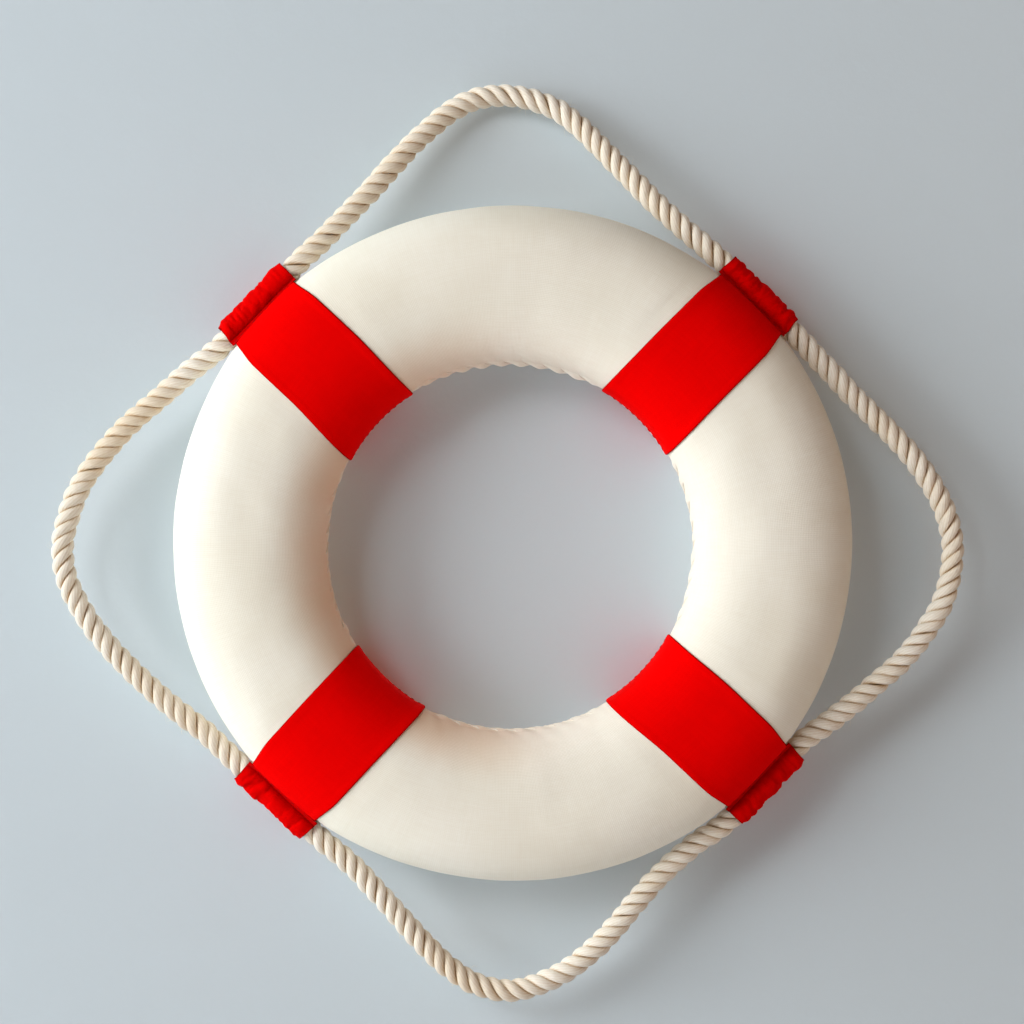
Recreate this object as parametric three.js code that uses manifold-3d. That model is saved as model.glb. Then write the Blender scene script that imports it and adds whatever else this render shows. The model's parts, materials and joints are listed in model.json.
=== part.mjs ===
// A wall-hung life ring buoy: a foam ring in a canvas cover of four panels, four cloth bands wrapped round
// it, a gathered cloth sleeve sewn to the rim of each band, and one rope run through the sleeves in four free
// bights. Millimetres, +Z up, the front faces -Y. The origin is where a wall hook bears on the underside of
// the top bight.

import * as THREE from "three";
import { mergeVertices } from "three/addons/utils/BufferGeometryUtils.js";
import Module from "manifold-3d";

const wasm = await Module();
wasm.setup();

// ---- Driving dimensions ----

const RING_OUTER_RADIUS = 175;
const HOLE_RADIUS = 93.5;
const TUBE_HALF_DEPTH = 28.5;
const BACK_FLAT_DEPTH = 27; // the back is pressed flat where the ring lies on the wall
const SECTION_POWER = 2.4; // 2 would be an ellipse; more is squarer

const GAP = 0.3; // air between neighbouring pieces
const CLOTH = 0.6; // canvas and band cloth
const BAND_WIDTH = 47;
const SEAT_DISTANCE = 173.3; // ring centre to the flat that a tight sleeve presses into its band
const PANEL_TUCK = 6.2; // degrees from a band's middle to the end of a panel under it
const SEAT_END = 10; // degrees from a band's middle to where the cover is round again

const ROPE_RADIUS = 6;
const SLEEVED_ROPE_RADIUS = 5.7; // the sleeve squeezes the rope a little
const SLEEVE_LENGTH = BAND_WIDTH;
const FLANGE_REACH = 10.5; // from the sleeve's middle to the edge of its sewn flange
const RUCHE_HEIGHT = 0.9;
const RUCHE_PITCH = 11;

const WHIPPING_LENGTH = 20;
const WHIPPED_ROPE_RADIUS = 5;
const WHIPPING_OUTER_RADIUS = 5.65;

const LACING_RADIUS = 0.6; // thread that closes the cover along the inner rim
const LACING_PITCH = 10;
const LACING_REACH = 4; // each side of the slit
const THREAD_RADIUS = 0.4; // thread that closes the bands and holds the sleeves
const BAND_STITCH_PITCH = 8;
const BAND_STITCH_REACH = 3;
const SLEEVE_STITCH_PITCH = 7;
const SLEEVE_STITCH_REACH = 0.6;

const TOP_LEAN = 0.228; // the top bight leans back to the hook, by this much for each mm above its mouths
const HANG_X = -5; // the top bight's highest point, from the ring's centre
const HANG_Z = 235;

// Each band's middle, in degrees anticlockwise from +X as seen from the front.
const BANDS = [
  { name: "top_right", angle: 45 },
  { name: "top_left", angle: 137 },
  { name: "bottom_left", angle: 227.5 },
  { name: "bottom_right", angle: 316.5 },
];

// Each quarter runs from one band to the next. route holds the bight's middle line, x and z from the ring's
// centre, between its two mouths.
const QUARTERS = [
  {
    name: "top",
    leans: true,
    route: [
      [90, 162], [74, 177], [59, 193], [44, 209], [32, 221], [22, 228], [9, 233], [HANG_X, HANG_Z],
      [-19, 233], [-31, 227], [-43, 217], [-55, 205], [-73, 184], [-95, 160],
    ],
  },
  {
    name: "left",
    leans: false,
    route: [
      [-167, 88], [-183, 74], [-199, 60], [-213, 44], [-223, 29], [-229, 14], [-232, -2], [-230, -18],
      [-223, -33], [-211, -50], [-195, -67], [-176, -84], [-158, -98],
    ],
  },
  {
    name: "bottom",
    leans: false,
    route: [
      [-83, -166], [-66, -184], [-49, -203], [-35, -217], [-20, -227], [-4, -231], [13, -228],
      [32, -218], [50, -202], [65, -184], [80, -168], [95, -155],
    ],
  },
  {
    name: "right",
    leans: false,
    route: [
      [167, -90], [184, -76], [201, -61], [214, -45], [223, -29], [227, -12], [227, 4], [222, 20],
      [213, 36], [202, 50], [189, 63], [176, 76], [162, 91],
    ],
  },
];

// ---- Worked out from them ----

const RING_MID_RADIUS = (RING_OUTER_RADIUS + HOLE_RADIUS) / 2;
const TUBE_HALF_WIDTH = (RING_OUTER_RADIUS - HOLE_RADIUS) / 2;
// Layers, as offsets from the cover's outer surface.
const COVER_INNER = -CLOTH;
const CORE_OUTER = COVER_INNER - GAP;
const BAND_INNER = GAP;
const BAND_OUTER = BAND_INNER + CLOTH;
const ROPE_DISTANCE = SEAT_DISTANCE + GAP + SLEEVED_ROPE_RADIUS; // ring centre to the rope in a sleeve
const MOUTH_REACH = SLEEVE_LENGTH / 2 + GAP + ROPE_RADIUS; // a sleeve's middle to the bend at its mouth

// ---- Steps ----

const SECTION_STEPS = 20;
const PANEL_STEPS = 9;
const BAND_STEPS = 4;
const SLEEVE_STEPS = 9;
const ARCH_STEPS = 5;
const ROPE_SIDES = 8;
const ROPE_STEPS = 24;
const THREAD_SIDES = 4;
const SEAM_STEPS = 2; // for each crossing of a seam's thread
const SLEEVE_STITCH_STEPS = 1;
const SLIT_TURN = 0.004; // half the slit along the inner rim, as a turn of the section in radians

const COLOURS = {
  foam: { color: 0xf4f4f2, roughness: 0.9 },
  canvas: { color: 0xece7dc, roughness: 0.85 },
  red_cloth: { color: 0xd90a0a, roughness: 0.8 },
  rope: { color: 0xe3d6c0, roughness: 0.9 },
  cream_thread: { color: 0xe6dcc8, roughness: 0.8 },
  red_thread: { color: 0xb00808, roughness: 0.8 },
};

// ---- Geometry helpers ----

const FULL_TURN = 360; // degrees
const radians = THREE.MathUtils.degToRad;

const evenly = (from, to, steps) =>
  Array.from({ length: steps + 1 }, (_, i) => from + ((to - from) * i) / steps);

// A point of the ring frame at an angle round the ring, a distance from its centre and a depth.
const ringPoint = (degrees, distance, depth) =>
  new THREE.Vector3(Math.cos(radians(degrees)) * distance, depth, Math.sin(radians(degrees)) * distance);

// A point beside a band's middle line: along the band's width, out from the ring's centre, and its depth.
function bandPoint(degrees, along, out, depth) {
  const middle = ringPoint(degrees, out, depth);
  const sideways = ringPoint(degrees + 90, along, 0);
  return middle.add(sideways);
}

const signedPower = (value, power) => Math.sign(value) * Math.abs(value) ** power;

// The tube's section at a turn from its outer rim: x is the distance from the ring's centre, y the depth.
function sectionPoint(turn, offset) {
  const across = (TUBE_HALF_WIDTH + offset) * signedPower(Math.cos(turn), 2 / SECTION_POWER);
  const deep = (TUBE_HALF_DEPTH + offset) * signedPower(Math.sin(turn), 2 / SECTION_POWER);
  return new THREE.Vector2(RING_MID_RADIUS + across, Math.min(deep, BACK_FLAT_DEPTH + offset));
}

// The inner rim's distance from the ring's centre at a depth, offset into the hole.
function rimDistance(depth, offset) {
  const share = Math.abs(depth / (TUBE_HALF_DEPTH + offset)) ** SECTION_POWER;
  return RING_MID_RADIUS - (TUBE_HALF_WIDTH + offset) * (1 - share) ** (1 / SECTION_POWER);
}

// How far out the flat under a sleeve lets a layer reach.
const seatOf = (offset) => SEAT_DISTANCE + offset - BAND_OUTER;

// A point of a layer that goes round the ring, held in where a sleeve presses on it.
function layerPoint(degrees, turn, offset) {
  const section = sectionPoint(turn, offset);
  const point = ringPoint(degrees, section.x, section.y);
  for (const band of BANDS) {
    const outward = ringPoint(band.angle, 1, 0);
    const excess = point.dot(outward) - seatOf(offset);
    if (excess > 0) point.addScaledVector(outward, -excess);
  }
  return point;
}

// The turns of a closed cloth section, slit along the inner rim.
const slitTurns = evenly(-Math.PI + SLIT_TURN, Math.PI - SLIT_TURN, SECTION_STEPS);

// The outline of a cloth shell between two layers: out along one and back along the other.
const shellOutline = (pointAt, outer, inner) => [
  ...slitTurns.map((turn) => pointAt(turn, outer)),
  ...slitTurns.toReversed().map((turn) => pointAt(turn, inner)),
];

// A closed solid through a row of matching outlines, with each quad cut along its shorter diagonal. A ring
// joins its last outline to its first; otherwise each end is capped with the flat outline's triangles.
function sweptSolid(outlines, flatOutline) {
  const count = outlines[0].length;
  const points = outlines.flat();
  const isRing = flatOutline === null;
  const index = [];
  const spans = isRing ? outlines.length : outlines.length - 1;
  const addQuad = (a, b, c, d) => {
    const alongAC = points[a].distanceTo(points[c]) < points[b].distanceTo(points[d]);
    index.push(...(alongAC ? [a, b, c, a, c, d] : [b, c, d, b, d, a]));
  };
  for (let i = 0; i < spans; i++) {
    const here = i * count;
    const next = ((i + 1) % outlines.length) * count;
    for (let k = 0; k < count; k++) {
      const k1 = (k + 1) % count;
      addQuad(here + k, next + k, next + k1, here + k1);
    }
  }
  if (!isRing) {
    const last = (outlines.length - 1) * count;
    const anticlockwise = !THREE.ShapeUtils.isClockWise(flatOutline);
    for (const [a, b, c] of THREE.ShapeUtils.triangulateShape(flatOutline, [])) {
      const [first, second] = anticlockwise ? [b, c] : [c, b];
      index.push(a, first, second, last + a, last + second, last + first);
    }
  }
  const geometry = new THREE.BufferGeometry().setFromPoints(points);
  geometry.setIndex(index);
  return facingOut(geometry);
}

// The same geometry with its faces turned to point out.
function facingOut(geometry) {
  const at = (i) => new THREE.Vector3().fromBufferAttribute(geometry.attributes.position, i);
  const index = Array.from(geometry.index.array);
  let volume = 0;
  for (let i = 0; i < index.length; i += 3) {
    volume += at(index[i]).dot(at(index[i + 1]).cross(at(index[i + 2])));
  }
  geometry.setIndex(volume < 0 ? index.reverse() : index);
  geometry.computeVertexNormals();
  return geometry;
}

// A round tube along a smooth curve through the points.
function tube(points, radius, sides, steps) {
  const section = new THREE.Shape().absarc(0, 0, radius, 0, 2 * Math.PI);
  const path = new THREE.CatmullRomCurve3(points, false, "centripetal");
  return new THREE.ExtrudeGeometry(section, {
    steps,
    extrudePath: path,
    curveSegments: sides / 2,
    bevelEnabled: false,
  });
}

// A seam's thread, which crosses from one side to the other between each point and the next.
const thread = (points, radius, stepsPerCrossing) =>
  tube(points, radius, THREAD_SIDES, (points.length - 1) * stepsPerCrossing);

function solidOf(geometry) {
  const bare = new THREE.BufferGeometry();
  bare.setAttribute("position", geometry.attributes.position);
  bare.setIndex(geometry.index);
  const merged = mergeVertices(bare);
  return new wasm.Manifold(
    new wasm.Mesh({
      numProp: 3,
      vertProperties: merged.attributes.position.array,
      triVerts: new Uint32Array(merged.index.array),
    }),
  );
}

function joined(...geometries) {
  const solid = geometries.map(solidOf).reduce((whole, piece) => whole.add(piece));
  const mesh = solid.getMesh();
  const geometry = new THREE.BufferGeometry();
  geometry.setAttribute("position", new THREE.BufferAttribute(mesh.vertProperties, mesh.numProp));
  geometry.setIndex(new THREE.BufferAttribute(mesh.triVerts, 1));
  geometry.computeVertexNormals();
  return geometry;
}

// A turned piece whose axis, +Y in its own frame, is laid along the rope in a band's sleeve.
function alongSleeve(geometry, degrees) {
  const along = ringPoint(degrees + 90, 1, 0);
  const turn = new THREE.Quaternion().setFromUnitVectors(new THREE.Vector3(0, 1, 0), along);
  const middle = ringPoint(degrees, ROPE_DISTANCE, 0);
  return geometry.applyQuaternion(turn).translate(middle.x, middle.y, middle.z);
}

// ---- Foam, cover and bands ----

// The quarter from band i to the next one, as angles that only grow.
function quarterAngles(i) {
  const from = BANDS[i].angle;
  const next = BANDS[(i + 1) % BANDS.length].angle;
  return { from, to: next > from ? next : next + FULL_TURN };
}

// The stations of the cover panel that fills the quarter after band i.
function panelAngles(i) {
  const { from, to } = quarterAngles(i);
  return [from + PANEL_TUCK, ...evenly(from + SEAT_END, to - SEAT_END, PANEL_STEPS), to - PANEL_TUCK];
}

function foamCore() {
  const turns = evenly(0, 2 * Math.PI, SECTION_STEPS).slice(0, -1);
  const angles = BANDS.flatMap((band, i) => [band.angle, ...panelAngles(i)]);
  const outlines = angles.map((degrees) => turns.map((turn) => layerPoint(degrees, turn, CORE_OUTER)));
  return sweptSolid(outlines, null);
}

function coverPanel(i) {
  const outlines = panelAngles(i).map((degrees) =>
    shellOutline((turn, offset) => layerPoint(degrees, turn, offset), 0, COVER_INNER),
  );
  return sweptSolid(outlines, shellOutline(sectionPoint, 0, COVER_INNER));
}

// A strip with straight, parallel sides, wrapped round the tube and flat under its sleeve.
function clothBand(degrees) {
  const flatPoint = (along, turn, offset) => {
    const section = sectionPoint(turn, offset);
    return new THREE.Vector2(Math.min(Math.sqrt(section.x ** 2 - along ** 2), seatOf(offset)), section.y);
  };
  const outlineAt = (along) =>
    shellOutline((turn, offset) => flatPoint(along, turn, offset), BAND_OUTER, BAND_INNER);
  const outlines = evenly(-BAND_WIDTH / 2, BAND_WIDTH / 2, BAND_STEPS).map((along) =>
    outlineAt(along).map(({ x, y }) => bandPoint(degrees, along, x, y)),
  );
  return sweptSolid(outlines, outlineAt(BAND_WIDTH / 2));
}

// Thread that zigzags over the slit in the cover, between two bands.
function innerLacing(i) {
  const { from, to } = quarterAngles(i);
  const underBand = THREE.MathUtils.radToDeg(Math.asin((BAND_WIDTH / 2 + LACING_REACH) / HOLE_RADIUS));
  const length = radians(to - from - 2 * underBand) * HOLE_RADIUS;
  const stitches = Math.round(length / LACING_PITCH);
  const offset = 2 * GAP + LACING_RADIUS;
  const points = evenly(from + underBand, to - underBand, 2 * stitches).map((degrees, k) => {
    const depth = k % 2 ? LACING_REACH : -LACING_REACH;
    return ringPoint(degrees, rimDistance(depth, offset), depth);
  });
  return thread(points, LACING_RADIUS, SEAM_STEPS);
}

// Thread that zigzags over the slit in a band.
function bandSeamThread(degrees) {
  const stitches = Math.round(BAND_WIDTH / BAND_STITCH_PITCH) - 1;
  const reach = (stitches * BAND_STITCH_PITCH) / 2;
  const offset = BAND_OUTER + 2 * GAP + THREAD_RADIUS;
  const points = evenly(-reach, reach, 2 * stitches).map((along, k) => {
    const depth = k % 2 ? BAND_STITCH_REACH : -BAND_STITCH_REACH;
    return bandPoint(degrees, along, Math.sqrt(rimDistance(depth, offset) ** 2 - along ** 2), depth);
  });
  return thread(points, THREAD_RADIUS, SEAM_STEPS);
}

// ---- Rope sleeves ----

// A gathered strip of cloth arched over the rope, with a flange each side that is sewn to the band.
function ropeSleeve(degrees) {
  const base = SEAT_DISTANCE + GAP;
  const flatOutline = (ruche) => {
    const inner = SLEEVED_ROPE_RADIUS + GAP + ruche;
    const outer = inner + CLOTH;
    const arch = (radius, angle) =>
      new THREE.Vector2(ROPE_DISTANCE + radius * Math.sin(angle), radius * Math.cos(angle));
    return [
      new THREE.Vector2(base, FLANGE_REACH),
      new THREE.Vector2(base + CLOTH, FLANGE_REACH),
      new THREE.Vector2(base + CLOTH, outer),
      ...evenly(0, Math.PI, ARCH_STEPS).map((angle) => arch(outer, angle)),
      new THREE.Vector2(base + CLOTH, -outer),
      new THREE.Vector2(base + CLOTH, -FLANGE_REACH),
      new THREE.Vector2(base, -FLANGE_REACH),
      new THREE.Vector2(base, -inner),
      ...evenly(Math.PI, 0, ARCH_STEPS).map((angle) => arch(inner, angle)),
      new THREE.Vector2(base, inner),
    ];
  };
  const rucheAt = (along) => (RUCHE_HEIGHT / 2) * (1 - Math.cos((2 * Math.PI * along) / RUCHE_PITCH));
  const half = SLEEVE_LENGTH / 2;
  const outlines = evenly(-half, half, SLEEVE_STEPS).map((along) =>
    flatOutline(rucheAt(along)).map(({ x, y }) => bandPoint(degrees, along, x, y)),
  );
  return sweptSolid(outlines, flatOutline(0));
}

// A line of stitches through one flange; side is -1 at the front and 1 at the back.
function sleeveStitching(degrees, side) {
  const stitches = Math.floor(SLEEVE_LENGTH / SLEEVE_STITCH_PITCH);
  const reach = (stitches * SLEEVE_STITCH_PITCH) / 2;
  const out = SEAT_DISTANCE + 2 * GAP + CLOTH + THREAD_RADIUS;
  const middle = side * (FLANGE_REACH - SLEEVE_STITCH_REACH - THREAD_RADIUS);
  const points = evenly(-reach, reach, 2 * stitches).map((along, k) =>
    bandPoint(degrees, along, out, middle + (k % 2 ? SLEEVE_STITCH_REACH : -SLEEVE_STITCH_REACH)),
  );
  return thread(points, THREAD_RADIUS, SLEEVE_STITCH_STEPS);
}

// ---- Rope ----

// Where the rope bends out of a sleeve: end is 1 at its anticlockwise mouth and -1 at the other.
const mouth = (degrees, end) => bandPoint(degrees, end * MOUTH_REACH, ROPE_DISTANCE, 0);

function bightRoute(i) {
  const { from, to } = quarterAngles(i);
  const start = mouth(from, 1);
  const finish = mouth(to, -1);
  const lean = QUARTERS[i].leans ? TOP_LEAN : 0;
  const between = QUARTERS[i].route.map(([x, z]) => {
    const chordZ = THREE.MathUtils.mapLinear(x, start.x, finish.x, start.z, finish.z);
    return new THREE.Vector3(x, lean * (z - chordZ), z);
  });
  return [start, ...between, finish];
}

// A free bight of rope, with round ends that turn in the sleeves' mouths.
function ropeBight(i) {
  const route = bightRoute(i);
  const ends = [route.at(0), route.at(-1)].map((end) =>
    new THREE.SphereGeometry(ROPE_RADIUS, ROPE_SIDES, ROPE_SIDES / 2).translate(end.x, end.y, end.z),
  );
  return joined(tube(route, ROPE_RADIUS, ROPE_SIDES, ROPE_STEPS), ...ends);
}

function sleevedRope(degrees) {
  return alongSleeve(
    new THREE.CylinderGeometry(SLEEVED_ROPE_RADIUS, SLEEVED_ROPE_RADIUS, SLEEVE_LENGTH, ROPE_SIDES),
    degrees,
  );
}

// One end of the rope, slimmer where the whipping binds it; end is 1 or -1 along the sleeve.
function ropeEnd(degrees, end) {
  const profile = [
    new THREE.Vector2(0, GAP / 2),
    new THREE.Vector2(WHIPPED_ROPE_RADIUS, GAP / 2),
    new THREE.Vector2(WHIPPED_ROPE_RADIUS, WHIPPING_LENGTH / 2 + GAP),
    new THREE.Vector2(SLEEVED_ROPE_RADIUS, WHIPPING_LENGTH / 2 + GAP),
    new THREE.Vector2(SLEEVED_ROPE_RADIUS, SLEEVE_LENGTH / 2),
    new THREE.Vector2(0, SLEEVE_LENGTH / 2),
  ];
  const geometry = new THREE.LatheGeometry(profile, ROPE_SIDES);
  if (end < 0) geometry.rotateX(Math.PI);
  return alongSleeve(geometry, degrees);
}

// Twine wound round the joint between the rope's two ends.
function ropeWhipping(degrees) {
  const half = WHIPPING_LENGTH / 2;
  const inner = WHIPPED_ROPE_RADIUS + GAP;
  const profile = [
    new THREE.Vector2(inner, -half),
    new THREE.Vector2(WHIPPING_OUTER_RADIUS, -half),
    new THREE.Vector2(WHIPPING_OUTER_RADIUS, half),
    new THREE.Vector2(inner, half),
    new THREE.Vector2(inner, -half),
  ];
  return alongSleeve(new THREE.LatheGeometry(profile, ROPE_SIDES), degrees);
}

// ---- Assembly ----

const buoy = new THREE.Group();
const ring = new THREE.Group();
const hangDepth = Math.max(...bightRoute(0).map((point) => point.y));
ring.position.set(-HANG_X, -hangDepth, ROPE_RADIUS - HANG_Z);
buoy.add(ring);

function addPiece(name, geometry, colour) {
  const mesh = new THREE.Mesh(geometry, new THREE.MeshStandardMaterial({ ...COLOURS[colour], metalness: 0 }));
  mesh.name = name;
  ring.add(mesh);
}

addPiece("foam_core", foamCore(), "foam");
QUARTERS.forEach(({ name }, i) => {
  addPiece(`cover_panel_${name}`, coverPanel(i), "canvas");
  addPiece(`inner_lacing_${name}`, innerLacing(i), "cream_thread");
  addPiece(`rope_bight_${name}`, ropeBight(i), "rope");
});
BANDS.forEach(({ name, angle }) => {
  addPiece(`band_${name}`, clothBand(angle), "red_cloth");
  addPiece(`band_seam_thread_${name}`, bandSeamThread(angle), "red_thread");
  addPiece(`rope_sleeve_${name}`, ropeSleeve(angle), "red_cloth");
  addPiece(`sleeve_stitching_front_${name}`, sleeveStitching(angle, -1), "red_thread");
  addPiece(`sleeve_stitching_back_${name}`, sleeveStitching(angle, 1), "red_thread");
});
// The rope is one length: it passes whole through three sleeves, and its ends meet inside the fourth.
const [joint, ...wholeSleeves] = BANDS.toReversed();
wholeSleeves.forEach(({ name, angle }) => addPiece(`sleeved_rope_${name}`, sleevedRope(angle), "rope"));
addPiece("rope_end_upper", ropeEnd(joint.angle, 1), "rope");
addPiece("rope_end_lower", ropeEnd(joint.angle, -1), "rope");
addPiece("rope_end_whipping", ropeWhipping(joint.angle), "cream_thread");

export default buoy;
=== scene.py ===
import json
import math

import bpy
import numpy as np
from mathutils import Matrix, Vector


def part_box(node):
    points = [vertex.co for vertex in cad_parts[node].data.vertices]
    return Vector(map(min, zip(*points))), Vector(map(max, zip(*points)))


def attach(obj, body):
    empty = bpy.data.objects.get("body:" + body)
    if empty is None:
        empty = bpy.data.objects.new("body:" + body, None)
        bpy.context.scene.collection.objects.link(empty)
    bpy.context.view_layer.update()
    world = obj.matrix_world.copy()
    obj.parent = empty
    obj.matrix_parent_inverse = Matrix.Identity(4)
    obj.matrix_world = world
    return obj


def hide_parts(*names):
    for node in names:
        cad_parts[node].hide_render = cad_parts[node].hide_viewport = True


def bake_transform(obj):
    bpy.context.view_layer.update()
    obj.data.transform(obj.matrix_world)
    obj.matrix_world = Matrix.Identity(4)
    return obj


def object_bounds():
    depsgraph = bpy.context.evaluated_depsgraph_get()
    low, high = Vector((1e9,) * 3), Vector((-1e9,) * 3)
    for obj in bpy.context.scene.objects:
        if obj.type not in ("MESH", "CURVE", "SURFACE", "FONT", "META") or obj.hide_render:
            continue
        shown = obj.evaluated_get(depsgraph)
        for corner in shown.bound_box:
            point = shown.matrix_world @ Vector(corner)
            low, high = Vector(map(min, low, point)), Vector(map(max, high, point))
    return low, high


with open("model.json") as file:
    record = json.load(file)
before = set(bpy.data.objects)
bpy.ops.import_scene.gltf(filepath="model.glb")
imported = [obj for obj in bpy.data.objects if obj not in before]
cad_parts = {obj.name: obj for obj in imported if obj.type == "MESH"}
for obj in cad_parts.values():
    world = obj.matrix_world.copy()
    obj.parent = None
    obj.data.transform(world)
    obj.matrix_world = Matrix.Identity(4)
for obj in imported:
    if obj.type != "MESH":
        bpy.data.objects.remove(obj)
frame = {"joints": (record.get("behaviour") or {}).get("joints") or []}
cad_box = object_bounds()

# The looks of a wall-hung life ring buoy. Metres, +Z up, the front faces -Y. A "turn" is the angle round the
# tube's section, from the outer rim over the back to the inner rim; an "offset" is a distance out from the
# cover's surface. Angles round the ring are degrees anticlockwise from +X, seen from the front.

# ---- Driving dimensions, the CAD's own ----

OUTER_RADIUS = 0.175
HOLE_RADIUS = 0.0935
HALF_DEPTH = 0.0285
BACK_FLAT_DEPTH = 0.027
SECTION_POWER = 2.4
BAND_WIDTH = 0.047
HALF_BAND = BAND_WIDTH / 2
SEAT_DISTANCE = 0.1733
SEATED_OFFSET = 0.0009
ROPE_DISTANCE = 0.1793
MOUTH_REACH = 0.0298
ROPE_RADIUS = 0.006
TOP_LEAN = 0.228
FLANGE_REACH = 0.0105

JOINTS = {joint["name"]: joint for joint in frame["joints"]}
RING_CENTRE = np.array([0.005, JOINTS["ring_tilt"]["pos_m"][1], -0.229])
WALL_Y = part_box("band_top_left")[1].y

BANDS = {"top_right": 45, "top_left": 137, "bottom_left": 227.5, "bottom_right": 316.5}

# Each quarter: the bands it runs between, the body its loop rides on, and the loop's middle line between its
# two mouths, x and z from the ring's centre in millimetres.
QUARTERS = {
    "top": {
        "bands": ("top_right", "top_left"),
        "body": "hanging_loop",
        "route": [
            (90, 162), (74, 177), (59, 193), (44, 209), (32, 221), (22, 228), (9, 233), (-5, 235),
            (-19, 233), (-31, 227), (-43, 217), (-55, 205), (-73, 184), (-95, 160),
        ],
    },
    "left": {
        "bands": ("top_left", "bottom_left"),
        "body": "left_loop",
        "route": [
            (-167, 88), (-183, 74), (-199, 60), (-213, 44), (-223, 29), (-229, 14), (-232, -2), (-230, -18),
            (-223, -33), (-211, -50), (-195, -67), (-176, -84), (-158, -98),
        ],
    },
    "bottom": {
        "bands": ("bottom_left", "bottom_right"),
        "body": "bottom_loop",
        "route": [
            (-83, -166), (-66, -184), (-49, -203), (-35, -217), (-20, -227), (-4, -231), (13, -228),
            (32, -218), (50, -202), (65, -184), (80, -168), (95, -155),
        ],
    },
    "right": {
        "bands": ("bottom_right", "top_right"),
        "body": "right_loop",
        "route": [
            (167, -90), (184, -76), (201, -61), (214, -45), (223, -29), (227, -12), (227, 4), (222, 20),
            (213, 36), (202, 50), (189, 63), (176, 76), (162, 91),
        ],
    },
}

MID_RADIUS = (OUTER_RADIUS + HOLE_RADIUS) / 2
HALF_WIDTH = (OUTER_RADIUS - HOLE_RADIUS) / 2
FULL_TURN = 360

# ---- Sizes of the details ----

SECTION_COLUMNS = 128  # points round the tube in a cover panel or a band
COVER_ROWS = 170
COVER_TUCK = 6.2  # degrees from a band's middle to the end of the panel under it
CANVAS_WEAVE = 0.00085  # from thread to thread
RED_WEAVE = 0.0007
CANVAS_THICKNESS = 0.0006
CANVAS_PUFF = 0.0005  # how far the cover swells beside a band
SLIT = 0.006  # half the slit along the inner rim, as a turn
SEAM_PITCH = 0.0098  # the whip stitches along the inner rim
SEAM_HEIGHT = 0.0014
SEAM_HALF_WIDTH = 0.0037
SEAM_FORWARD = 0.0020  # the seam's roll lies a little forward of the middle
SEAM_SLANT = 1.0
SEAM_CLEAR = 0.008  # from a band's edge to where the roll is full
PUCKER_REACH = 0.018
PUCKER_HEIGHT = 0.0006
LACING_RADIUS = 0.00045
SEAM_STRENGTH = {"top": 1.0, "left": 0.5, "bottom": 0.6, "right": 0.6}
HOLE_SHIFT = np.array([-0.0010, 0.0, -0.0019])  # the foam is moulded a little thicker at the top
HOLE_GROWTH = 0.0010
FLATTENING = 0.0012  # of the outer rim at the top and the bottom
LEFT_FLATTENING = 0.0009
FOAM_INSET = 0.0013  # the foam's surface lies this far inside the cover's
BAND_INNER = 0.0002
BAND_OUTER = 0.0009
BAND_EDGE = 0.003  # the strip along a band's edge that has finer rows
BAND_PULLED_IN = 0.0016  # how much a sleeve narrows its band at the rim, on each side
BAND_SEAM_DEPTH = 0.0045  # a band is sewn up just behind the middle of the inner rim
BAND_STITCHES = 11
THREAD_RADIUS = 0.0003

SLEEVE_ROWS = 104
SLEEVE_COLUMNS = 68
ARCH_RADIUS = 0.0063  # the rope's middle to the middle of the cloth over it
ARCH_END = 2.6  # how far round the rope the cloth goes on each side before it turns out, in radians
SEWN_OUT = SEAT_DISTANCE + 0.0004
FLANGE_HELD = 0.0048  # the strip of each flange that the stitching holds
FLANGE_STITCHES = 10
SLEEVE_THICKNESS = 0.0006
SLEEVE_HEM = 0.0004  # how far the flange's outer edge is turned down
GATHERING = {"top_right": 1.45, "top_left": 1.38, "bottom_left": 1.44, "bottom_right": 1.42}
FOLD_LIMIT = 0.0024  # how far a fold may stand out
SIMULATION_SCALE = 20.0  # the cloth solver works best on pieces about a metre long
SIMULATION_FRAMES = 26
SOLVER_ROPE_RADIUS = 0.97 * ROPE_RADIUS
SOLVER_GAP = 0.004  # at the simulation's scale

STRANDS = 3
STRAND_RADIUS = 0.00235
STRAND_SPREAD = 1.12  # each strand is pressed wider than it is deep
STRAND_HELIX = 0.0036  # rope's middle line to a strand's
ROPE_LAY = 0.0222
YARNS = 11
YARN_VERTICES = 4
YARN_DEPTH = 0.07  # of the strand's radius
YARN_TWIST = 400.0  # radians each metre of rope, against the lay
ROPE_STEP = 0.0008
ROPE_TUCK = 0.012  # how far a loop's rope goes on past its mouth into the sleeve
SLEEVED_SIZE = 0.95  # the rope is squeezed to this in a sleeve
SLEEVED_REACH = 0.0175
LOOSE_FIBRES = 150  # on each loop
WHIPPED_SIZE = 0.83
WHIPPING_HALF = 0.010
WHIPPING_RADIUS = 0.0053
TWINE_RADIUS = 0.00035

# Each light: its place from the middle of the object, the length of its sides, its watts and its colour.
LIGHTS = {
    "window": ((-2.95, -1.30, 0.75), 2.3, 111.0, (0.985, 1.0, 1.0)),
    "second_window": ((-1.2, -1.9, 1.0), 0.8, 13.0, (0.99, 1.0, 1.0)),
    "room": ((1.5, -1.5, 0.1), 2.0, 7.5, (1.0, 0.56, 0.32)),
    "behind": ((-0.6, 1.8, 0.9), 2.4, 24.0, (1.0, 0.90, 0.88)),
}
LENS = 74.9
CAMERA_DISTANCE = 1.10
CAMERA_RISE = 0.016  # above the ring's centre
WALL_GAP = 0.0008
WALL_REACH = 3
FLOOR_Z = -1.2
FLOOR_REACH = 4

# ---- Numbers and noise ----


def evenly(start, end, count):
    return np.linspace(start, end, count)


def smoothstep(low, high, value):
    share = np.clip((value - low) / (high - low), 0, 1)
    return share * share * (3 - 2 * share)


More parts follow.
